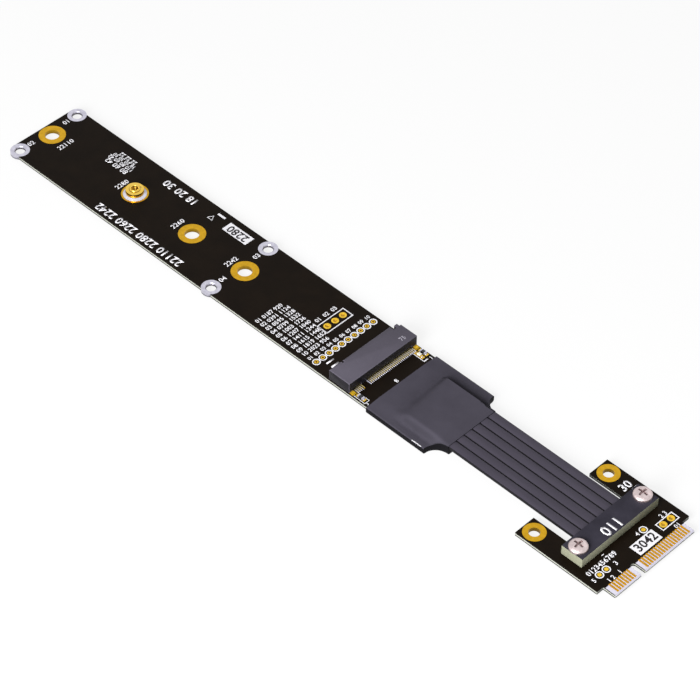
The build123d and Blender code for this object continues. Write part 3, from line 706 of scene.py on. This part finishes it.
def sleeve_mesh(sizes):
    """Sleeve: rings of points round its section, from the back end to the neck, with a blind pocket at each
    end, for the board and for the cable."""
    sleeve_low, sleeve_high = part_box("sleeve")
    cable_low, cable_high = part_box("cable_strip_1")[0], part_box("cable_strip_6")[1]
    half_width = sleeve_high.y
    half_neck = cable_high.y + 0.25 * MM
    half_hump = cable_high.y - 0.5 * MM
    shoulder_x = datum_x + 26.4 * MM
    margin_top = board_top + 0.45 * MM
    rise = sleeve_high.z - margin_top
    neck_rise = cable_high.z + sizes.neck_wall - margin_top
    edge, undercut = sizes.sleeve_edge, sizes.sleeve_undercut
    # Places along the sleeve with the half width there: straight, then a hollow quarter round into the neck
    straight, curved, across_top = 40, 16, 90
    length = shoulder_x - sleeve_low.x
    stations = [(sleeve_low.x + step * length / straight, half_width) for step in range(straight)]
    for step in range(curved + 1):
        turn = math.radians(90 * step / curved)
        stations.append((
            sleeve_high.x - (sleeve_high.x - shoulder_x) * math.cos(turn),
            half_width - (half_width - half_neck) * math.sin(turn)))

    def height(x, y):
        slope = sizes.far_slope if y > 0 else sizes.near_slope
        back_slope = sizes.hump_slope * (1 - 0.3 * max(-1.0, min(1.0, y / half_hump)))
        along = smooth_step((x - datum_x - sizes.hump_back) / back_slope)
        across = smooth_step((half_hump + slope - abs(y)) / slope)
        thin = smooth_step((x - sleeve_high.x + sizes.neck_taper) / sizes.neck_taper)
        outside = smooth_step((abs(y) - half_hump) / (half_width - half_hump))
        return margin_top - sizes.margin_drop * outside + (rise + (neck_rise - rise) * thin) * along * across

    shape = bmesh.new()
    rings = []
    corner = [math.radians(90 * i / 5) for i in range(6)]
    for x, width in stations:
        inner = width - edge
        foot = [(width - undercut * (1 - math.sin(t)), undercut * 0.9 * (1 - math.cos(t))) for t in corner]
        right, left = [
            foot + [(inner + edge * math.cos(t), height(x, y) - edge + edge * math.sin(t)) for t in corner]
            for y in (inner, -inner)]
        top = [inner * (1 - 2 * i / across_top) for i in range(1, across_top)]
        ring = right + [(y, height(x, y)) for y in top] + [(-y, z) for y, z in reversed(left)]
        rings.append([shape.verts.new((x, y, z)) for y, z in ring])
    for first, second in zip(rings, rings[1:]):
        band(shape, first, second)
    # End faces with their pockets: the board's at the back, the cable's at the neck
    for ring, x_end, x_floor, low, high in (
            (rings[0], sleeve_low.x, board_high.x, board_low, board_high),
            (rings[-1], sleeve_high.x, cable_low.x, cable_low, cable_high)):
        corners = [(low.y, low.z), (high.y, low.z), (high.y, high.z), (low.y, high.z)]
        mouth, floor = [[shape.verts.new((x, y, z)) for y, z in corners] for x in (x_end, x_floor)]
        band(shape, mouth, floor)
        shape.faces.new(floor)
        outlines = [
            shape.edges.get((loop[i], loop[(i + 1) % len(loop)])) for loop in (ring, mouth)
            for i in range(len(loop))]
        bmesh.ops.triangle_fill(shape, edges=outlines, use_beauty=True)
    return smoothed(mesh_of(shape, outwards=True), 40)


def strip_mesh(low, high, sizes):
    """One strip of the cable: a straight bar with a domed top and wide round shoulders."""
    middle, half = (low.y + high.y) / 2, (high.y - low.y) / 2
    shoulder, fall, foot = sizes.strip_shoulder, sizes.strip_shoulder * 0.8, 0.15 * MM
    flat = half - shoulder

    def dome(y):
        return high.z - sizes.strip_dome * (y / half) ** 2

    right = [(half - foot, low.z), (half, low.z + foot)]
    for step in range(7):
        turn = math.radians(90 * step / 6)
        right.append((flat + shoulder * math.cos(turn), dome(flat) - fall + fall * math.sin(turn)))
    top = [(flat * (1 - step / 5), dome(flat * (1 - step / 5))) for step in range(1, 10)]
    section = right + top + [(-y, z) for y, z in reversed(right)]
    shape = bmesh.new()
    ends = [[shape.verts.new((x, middle + y, z)) for y, z in section] for x in (low.x, high.x)]
    band(shape, *ends)
    for end in ends:
        shape.faces.new(end)
    return smoothed(mesh_of(shape, outwards=True), 40)


def slot_cutter(x, y, length, width, low, high):
    """Upright prism with round ends, to cut a slot."""
    shape = bmesh.new()
    outline = []
    for end in (1, -1):
        for step in range(9):
            turn = math.radians(-90 + 180 * step / 8)
            outline.append((
                x + end * (length / 2 - width / 2 + width / 2 * math.cos(turn)),
                y + end * width / 2 * math.sin(turn)))
    bottom = shape.faces.new([shape.verts.new((a, b, low)) for a, b in outline])
    return raised(shape, [bottom], high - low)


# Operators

class CABLE_OT_boards(bpy.types.Operator):
    """Finish the two boards and everything plated on them"""

    bl_idname = "drive_cable.boards"
    bl_label = "Boards and plating"

    def execute(self, context):
        colours = context.scene.cable_finish
        board = (colours.mask, colours.laminate, 0.42, True)
        paint(known("black_masked_laminate", laminate, *board), "carrier_board")
        paint(known("black_masked_card", laminate, *board, colours.tongue), "mini_card")
        # The gold rings and pads carry painted shade in their bores and beside taller parts
        paint(known("immersion_gold", plated, colours.gold, 0.34, grime=0.2, film=(0.45, 0.85)),
              "fixing_hole_rings", "board_joint_pads", "card_joint_pads", "card_hole_rings")
        paint(known("flash_gold", plated, colours.pad_gold, 0.45, reach_mm=0.6, metallic=0.4),
              "header_hole_rings", "card_header_rings", "board_test_pads", "card_test_pads", "chip_pads",
              "status_lamp_base", "socket_solder_pads", "socket_hold_downs", "hold_down_pads")
        paint(known("hard_gold", plated, colours.finger_gold, 0.3), "card_top_fingers", "card_bottom_fingers")
        # Painted shade in the nuts' bores and on their sides near the board
        paint(known("polished_nickel", plated, colours.nickel, 0.3, reach_mm=1.5, grime=0.06,
                    film=(0.8, 1.0)), "edge_nuts")
        paint(known("tinned_copper_wire", plated, colours.solder, 0.3), "board_end_cores", "card_end_cores")
        return {"FINISHED"}


class CABLE_OT_board_print(bpy.types.Operator):
    """Print the outlines, numbers and lists on the carrier board"""

    bl_idname = "drive_cable.board_print"
    bl_label = "Board printing"

    def execute(self, context):
        sizes = context.scene.cable_print
        pad_x, pad_middle, pad_pitch = -9.2, 0.05, 2.04
        header_middle, header_pitch, list_pitch = 3.3, 2.54, 1.68
        page = Print(board_top)
        # Drive sizes beside the four fixing holes, and numbers of the edge nuts
        page.numbers(
            sizes.number, ("22110", -105.0, 0.0), ("2280", -84.55, 0.0), ("2260", -64.9, 0.0),
            ("2242", -46.55, 0.0), ("01", -111.2, 5.7), ("02", -111.2, -5.7), ("03", -43.7, 5.5),
            ("04", -43.7, -5.5))
        # Label panel, numbered, with a bar and a triangle beside it
        page.patch(-56.3, -48.4, 6.2, 9.2)
        page.patch(-60.7, -58.3, 8.9, 9.5)
        page.triangle(-60.9, 7.0, 1.8)
        lone_number("board_panel_number", "2280", -52.35, 7.7, board_top + sizes.ink, sizes.large_number,
                    ink("black"), turn=180)
        # Rows of drive sizes and hole spacings along the two edges, and a block of small ones
        page.numbers(
            sizes.large_number, ("22110 2280 2260 2242", -68.8, -9.0), ("18 20 30", -72.5, 8.1), turn=180)
        for text, y, height in (
                ("80 60 42", 3.6, 1.45), ("110 80 60 42", 5.0, 1.1), ("18 20 30 50", 6.2, 1.1),
                ("22 22 22", 7.4, 1.1)):
            page.number(text, -90.5, y, height * MM, turn=180)
        # Outline and pin numbers of the three-pin header
        page.frame_line(-17.3, -13.9, -1.0, 7.6)
        for pin in range(3):
            page.number(f"{pin + 1:02}", -18.5, header_middle + (pin - 1) * header_pitch, sizes.list_number)
        # Numbers of the test pads, and a list of them with their places in hundredths of a millimetre
        places = [pad_middle + (pad - 4.5) * pad_pitch for pad in range(10)]
        for pad, y in enumerate(places):
            page.number(f"{pad + 1:02}", -11.1, y, sizes.small_number)
            page.number(
                f"{pad + 1:02} {1100 + round(100 * y):04} {920 + 204 * pad % 900}", -28.0 + pad * list_pitch,
                -9.9, sizes.list_number, align="LEFT")
        # Key mark before the socket, and lines and numbers round the small parts
        page.number("11", -6.4, -6.6, sizes.large_number, turn=180)
        for corners in (
                (4.2, 7.7, -10.75, -10.6), (4.2, 7.7, -9.35, -9.2), (7.55, 7.7, -10.6, -9.35),
                (4.1, 8.0, 8.2, 8.38), (7.7, 8.0, 8.38, 9.5), (4.1, 4.28, 8.38, 9.5)):
            page.patch(*corners)
        page.number("1", 8.25, 10.3, sizes.small_number)
        page.number("8", 7.7, -0.5, sizes.list_number)
        page.number("3", 8.1, -10.3, sizes.small_number * 0.8)
        put("board_print", page.printed(), ink("white"))
        pad_rings("test_pad_rings", [(pad_x, y) for y in places])
        # A flat dark copper disc on each test pad stands for its drilled hole: copper's colour, darkened as
        # painted shade of the bore
        pads_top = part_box("board_test_pads")[1].z
        strew("test_pad_holes", [at(pad_x, y, pads_top) for y in places], ring_tree(),
              known("drilled_hole", plated, linear("6A2A10"), 0.5), Outside=0.25 * MM, Inside=0.03 * MM,
              Thickness=0.01 * MM)
        return {"FINISHED"}


class CABLE_OT_card_print(bpy.types.Operator):
    """Print the outlines and numbers on the mini card"""

    bl_idname = "drive_cable.card_print"
    bl_label = "Card printing"

    def execute(self, context):
        sizes = context.scene.cable_print
        page = Print(board_top)
        # Outline of the two-pin header, and the numbered panel
        page.frame_line(76.65, 79.1, 7.8, 13.25)
        page.patch(76.9, 80.15, -0.9, 6.3)
        lone_number("card_panel_number", "3042", 78.5, 2.7, board_top + sizes.ink, sizes.large_number,
                    ink("black"))
        # Numbers of the fingers, the header, the test pads and the ear
        page.numbers(sizes.list_number, ("1", 80.0, -7.4), ("1 2", 79.95, -10.2), ("2 3", 76.0, 11.4),
                     ("01", 80.2, 11.2))
        page.number("0123456789", 75.75, -8.5, sizes.number * 0.95)
        page.numbers(sizes.list_number, ("5", 77.8, -13.2), ("3", 77.8, -6.2), ("4", 75.7, 3.2))
        page.number("30", 64.9, 11.9, sizes.large_number)
        page.number("27", 67.1, 13.0, sizes.number)
        page.patch(74.2, 74.4, -6.9, -6.2)
        put("card_print", page.printed(), ink("white"))
        pad_rings("card_pad_rings", [(75.8, 5.0), (77.5, -9.0), (77.5, -11.2)])
        return {"FINISHED"}


class CABLE_OT_socket(bpy.types.Operator):
    """Finish the drive socket: housing, sprung contacts and solder"""

    bl_idname = "drive_cable.socket"
    bl_label = "Drive socket"

    def execute(self, context):
        colours = context.scene.cable_finish
        nylon = known("moulded_nylon", moulded_nylon, colours.housing)
        put("socket_shell", softened("socket_housing", context.scene.cable_mould.socket_edge), nylon,
            ["socket_housing"])
        # Painted shadow of the housing: the contacts darken near its wall, as the AO node finds them enclosed
        paint(known("spring_bronze", plated, colours.spring, 0.5, reach_mm=1.5, grime=0.06, film=(0.5, 0.78),
                    metallic=0.35), "socket_rear_contacts", "socket_front_contacts")
        paint(tin_solder(), "chip_resistor_caps", "standoff_solder")
        lone_number("socket_number", "75", 1.3, 8.0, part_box("socket_housing")[1].z,
                    context.scene.cable_print.list_number, ink("grey"))
        # Solder drawn out along the foot of each rear contact, with none at the key
        rear_low, rear_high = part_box("socket_rear_contacts")
        pitch, half_contact, key = 0.5 * MM, 0.11 * MM, range(4, 8)
        count = round((rear_high.y - rear_low.y) / pitch) + 1
        toes = [
            (rear_high.x - 0.6 * MM, rear_low.y + half_contact + i * pitch, board_top + 0.08 * MM)
            for i in range(count) if i not in key]
        strew("contact_solder", toes, bead_tree(), tin_solder(), "solder",
              Size=(2.2 * MM, 0.3 * MM, 0.28 * MM))
        return {"FINISHED"}


class CABLE_OT_small_parts(bpy.types.Operator):
    """Finish the chip resistors and the lamp, and solder them down"""

    bl_idname = "drive_cable.small_parts"
    bl_label = "Resistors and lamp"

    def execute(self, context):
        paint(known("fired_glaze", chip_glaze), "chip_resistors")
        paint(known("clear_resin", cast_resin), "status_lamp_lens")
        chips_low, chips_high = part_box("chip_resistor_caps")
        lamp_low, lamp_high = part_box("status_lamp_base")
        half_chip = (lamp_high.y - lamp_low.y) / 2
        rows = (chips_low.y + half_chip, chips_high.y - half_chip, lamp_high.y - half_chip)
        ends = [(x, y, chips_low.z) for y in rows for x in (chips_low.x, chips_high.x)]
        strew("chip_solder", ends, bead_tree(), tin_solder(), "solder", Size=(0.5 * MM, 0.72 * MM, 0.42 * MM))
        return {"FINISHED"}


class CABLE_OT_metalwork(bpy.types.Operator):
    """Finish the standoff, the nuts and the screws, and cut their threads"""

    bl_idname = "drive_cable.metalwork"
    bl_label = "Standoff, nuts and screws"

    def execute(self, context):
        colours = context.scene.cable_finish
        standoff_low, standoff_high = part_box("standoff")
        standoff_x = (standoff_low.x + standoff_high.x) / 2
        brass = known("lathe_turned_brass", turned_brass, colours.brass, standoff_x)
        paint(brass, "standoff_nut")
        put("standoff_turned", softened("standoff", 0.07 * MM), brass, ["standoff"])
        # Painted shade in the screws' recesses
        paint(known("nickelled_steel", plated, colours.steel, 0.42, blotch_mm=0.6, depth_mm=0.004,
                    reach_mm=0.5, grime=0.6), "clamp_screws", "clinch_nuts")
        nuts_low, nuts_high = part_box("edge_nuts")
        nut_radius = 2.4 * MM
        nut_y = nuts_high.y - nut_radius
        bores = [
            (x, y, board_bottom + 0.2 * MM)
            for x in (nuts_low.x + nut_radius, nuts_high.x - nut_radius) for y in (-nut_y, nut_y)]
        # Painted shade: the threads in the nuts' bores are kept dark throughout
        nickel = known("dulled_nickel", plated, colours.steel, 0.35, grime=0.08, film=(0.75, 1.0))
        strew("edge_nut_threads", bores, thread_tree(), nickel, "bright_nickel", Radius=1.25 * MM,
              Height=0.6 * MM, Turns=1.5, Ridge=0.06 * MM)
        strew("standoff_thread", [(standoff_x, 0, standoff_low.z + 0.4 * MM)], thread_tree(), brass,
              "turned_brass", Radius=0.85 * MM, Height=standoff_high.z - standoff_low.z - 0.8 * MM, Turns=8.0,
              Ridge=0.07 * MM)
        return {"FINISHED"}


class CABLE_OT_sleeve(bpy.types.Operator):
    """Shape the soft sleeve over the board's end and the cable's start"""

    bl_idname = "drive_cable.sleeve"
    bl_label = "Sleeve"

    def execute(self, context):
        slit_x, slit_y = datum_x + 24.1 * MM, board_low.y - 0.275 * MM
        cutter = placed("slit", slot_cutter(slit_x, slit_y, 3.1 * MM, 0.3 * MM, -1 * MM, 4 * MM))
        made = baked(sleeve_mesh(context.scene.cable_mould), "BOOLEAN", operation="DIFFERENCE",
                     solver="EXACT", object=cutter)
        bpy.data.objects.remove(cutter)
        put("sleeve_skin", made, known("soft_black_rubber", soft_rubber, context.scene.cable_finish.rubber),
            ["sleeve"])
        # White strip in the slit, painted light: it stands for the white seen through the slit
        put("slit_strip", slot_cutter(slit_x, slit_y, 2.9 * MM, 0.24 * MM, 0.6 * MM, board_top + 0.1 * MM),
            ink("white"))
        return {"FINISHED"}


class CABLE_OT_cable(bpy.types.Operator):
    """Shape the six strips of the cable"""

    bl_idname = "drive_cable.cable"
    bl_label = "Cable"

    def execute(self, context):
        jacket = known("extruded_pvc", extruded_pvc, context.scene.cable_finish.jacket)
        for index in range(1, 7):
            node = f"cable_strip_{index}"
            put(f"strip_{index}_domed", strip_mesh(*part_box(node), context.scene.cable_mould), jacket,
                [node])
        return {"FINISHED"}


class CABLE_OT_clamp(bpy.types.Operator):
    """Finish the clamp bar and number it"""

    bl_idname = "drive_cable.clamp"
    bl_label = "Clamp bar"

    def execute(self, context):
        colours = context.scene.cable_finish
        bar = known("sawn_thick_laminate", laminate, colours.bar_top, colours.bar_edge, 0.5)
        put("clamp_bar_soft", softened("clamp_bar", context.scene.cable_mould.bar_edge), bar,
            ["clamp_bar"])
        lone_number("bar_print", "110", 71.6, -0.9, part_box("clamp_bar")[1].z,
                    context.scene.cable_print.bar_number, ink("white"), turn=-90)
        return {"FINISHED"}


class CABLE_OT_stage(bpy.types.Operator):
    """Set up the floor, the lamps, the sky and the camera"""

    bl_idname = "drive_cable.stage"
    bl_label = "Studio"

    def execute(self, context):
        scene = context.scene
        studio = scene.cable_studio
        white = (1, 1, 1, 1)
        # Floor: shows white to the camera, with a little of its own shading left for the part's shadow
        pale = Finish("pale_floor", Roughness=0.9)
        seen = ray_share(pale.tree, "Is Camera Ray", "Is Glossy Ray")
        paper = pale.between(pale.grain(60.0), linear("FAFAFA"), linear("FFFFFF"))
        pale.colour(seen, linear("8C8C8C"), paper)
        share = pale.node("ShaderNodeMath", {0: seen, 1: 0.85}, operation="MULTIPLY")
        glow = pale.node("ShaderNodeEmission", {"Color": white, "Strength": 1.0})
        mixed = pale.node("ShaderNodeMixShader", {0: share, 1: pale.shader.outputs[0], 2: glow})
        pale.tree.links.new(mixed, pale.surface.inputs["Surface"])
        shape = bmesh.new()
        bmesh.ops.create_grid(shape, x_segments=2, y_segments=2, size=3.0)
        mesh = mesh_of(shape)
        mesh.materials.append(pale.material)
        floor = placed("floor", mesh)
        floor.location.z = -0.05 * MM
        # Sky: brightest overhead, and white to the camera and in reflections
        world = bpy.data.worlds.new("studio")
        scene.world = world
        world.use_nodes = True
        tree = world.node_tree
        tree.nodes.clear()
        direct = ray_share(tree, "Is Camera Ray", "Is Transmission Ray", "Is Glossy Ray")
        towards = add(tree, "ShaderNodeTexCoord").outputs["Generated"]
        upwards = add(tree, "ShaderNodeSeparateXYZ", {"Vector": towards}).outputs["Z"]
        level = add(tree, "ShaderNodeMapRange", {
            "Value": upwards, "To Min": 0.12 * studio.sky, "To Max": studio.sky})
        sky = add(tree, "ShaderNodeBackground", {"Color": white, "Strength": level.outputs[0]})
        shown = add(tree, "ShaderNodeBackground", {"Color": white, "Strength": 1.0})
        mixed = add(tree, "ShaderNodeMixShader", {0: direct, 1: sky.outputs[0], 2: shown.outputs[0]})
        add(tree, "ShaderNodeOutputWorld", {"Surface": mixed.outputs[0]})
        # Lamps: the bright one low at the near side, and a faint one at the far side
        low, high = CAD_BOX
        middle = (Vector(low) + Vector(high)) / 2
        for name, offset, power in (
                ("key_lamp", (0.16, -0.52, 0.30), studio.key),
                ("fill_lamp", (0.10, 0.55, 0.40), studio.fill)):
            data = bpy.data.lights.new(name, "AREA")
            data.shape = "SQUARE"
            data.size = 0.30
            data.energy = power
            lamp = placed(name, data)
            lamp.location = middle + Vector(offset)
            lamp.rotation_mode = "QUATERNION"
            lamp.rotation_quaternion = (-Vector(offset)).to_track_quat("-Z", "Y")
        # Camera, at the angle from which the part is usually shown
        target = Vector(at(-6.541, -1.023, board_top))
        a, e, r = studio.azimuth, studio.elevation, studio.roll
        back = Vector((math.sin(a) * math.cos(e), -math.cos(a) * math.cos(e), math.sin(e)))
        level = Vector((math.cos(a), math.sin(a), 0))
        rise = back.cross(level)
        right = math.cos(r) * level + math.sin(r) * rise
        up = -math.sin(r) * level + math.cos(r) * rise
        data = bpy.data.cameras.new("camera")
        data.sensor_width = 36
        data.lens = studio.focal_length
        data.clip_start = 0.01
        data.clip_end = 20
        scene.camera = placed("camera", data)
        scene.camera.matrix_world = Matrix.Translation(target + back * studio.distance) @ Matrix(
            (right, up, back)).transposed().to_4x4()
        scene.view_settings.view_transform = "Standard"
        return {"FINISHED"}


class CABLE_PT_panel(bpy.types.Panel):
    """Lists the sizes, the colours and the steps that build the looks"""

    bl_idname = "CABLE_PT_panel"
    bl_label = "Drive cable"
    bl_space_type = "VIEW_3D"
    bl_region_type = "UI"
    bl_category = "Drive cable"

    def draw(self, context):
        layout = self.layout
        for group, kind in GROUPS.items():
            box = layout.box()
            for name in kind.__annotations__:
                box.prop(getattr(context.scene, group), name)
        for step in STEPS:
            layout.operator(step.bl_idname)


STEPS = (
    CABLE_OT_boards, CABLE_OT_board_print, CABLE_OT_card_print, CABLE_OT_socket, CABLE_OT_small_parts,
    CABLE_OT_metalwork, CABLE_OT_sleeve, CABLE_OT_cable, CABLE_OT_clamp, CABLE_OT_stage)


def register():
    """Register the property groups, the operators and the panel."""
    for name, kind in GROUPS.items():
        bpy.utils.register_class(kind)
        setattr(bpy.types.Scene, name, bpy.props.PointerProperty(type=kind))
    for kind in (*STEPS, CABLE_PT_panel):
        bpy.utils.register_class(kind)


def unregister():
    """Take them away again."""
    for kind in (CABLE_PT_panel, *reversed(STEPS)):
        bpy.utils.unregister_class(kind)
    for name, kind in GROUPS.items():
        delattr(bpy.types.Scene, name)
        bpy.utils.unregister_class(kind)


def main():
    """Build the looks step by step."""
    register()
    for step in STEPS:
        group, name = step.bl_idname.split(".")
        getattr(getattr(bpy.ops, group), name)()


if __name__ == "__main__":
    main()
